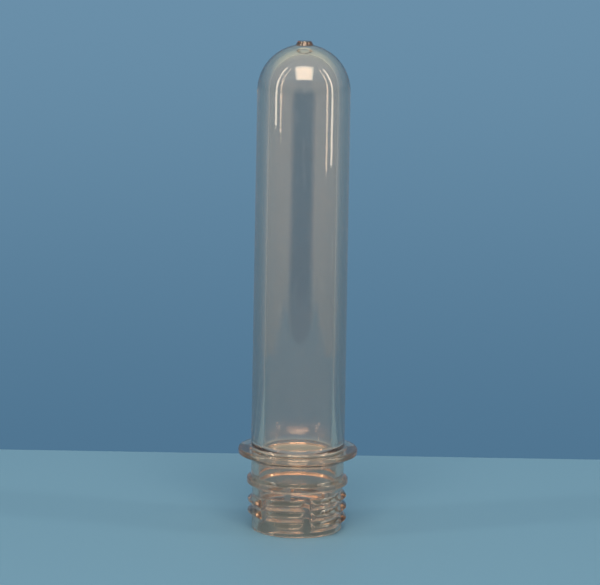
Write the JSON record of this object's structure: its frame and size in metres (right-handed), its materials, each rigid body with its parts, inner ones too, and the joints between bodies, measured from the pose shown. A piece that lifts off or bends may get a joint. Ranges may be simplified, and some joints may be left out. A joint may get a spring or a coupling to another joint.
{
  "type": "pet bottle preform",
  "caption": "Clear moulded bottle preform: a thick tube with a domed closed end, and a neck with thread, bead and support ring, to be heated and blown into a bottle.",
  "frame": {"origin": "centre of the sealing surface at the mouth, on the preform's axis", "axes": "+Z along the axis, from the mouth to the gate nub on the domed end; -Y is the front"},
  "size_m": [0.033, 0.033, 0.1356],
  "materials": {
    "clear_pet": "clear, polished, with a faint warm tint where the moulding is thick"
  },
  "bodies": {
    "root": {"preform": "clear_pet"}
  },
  "joints": []
}
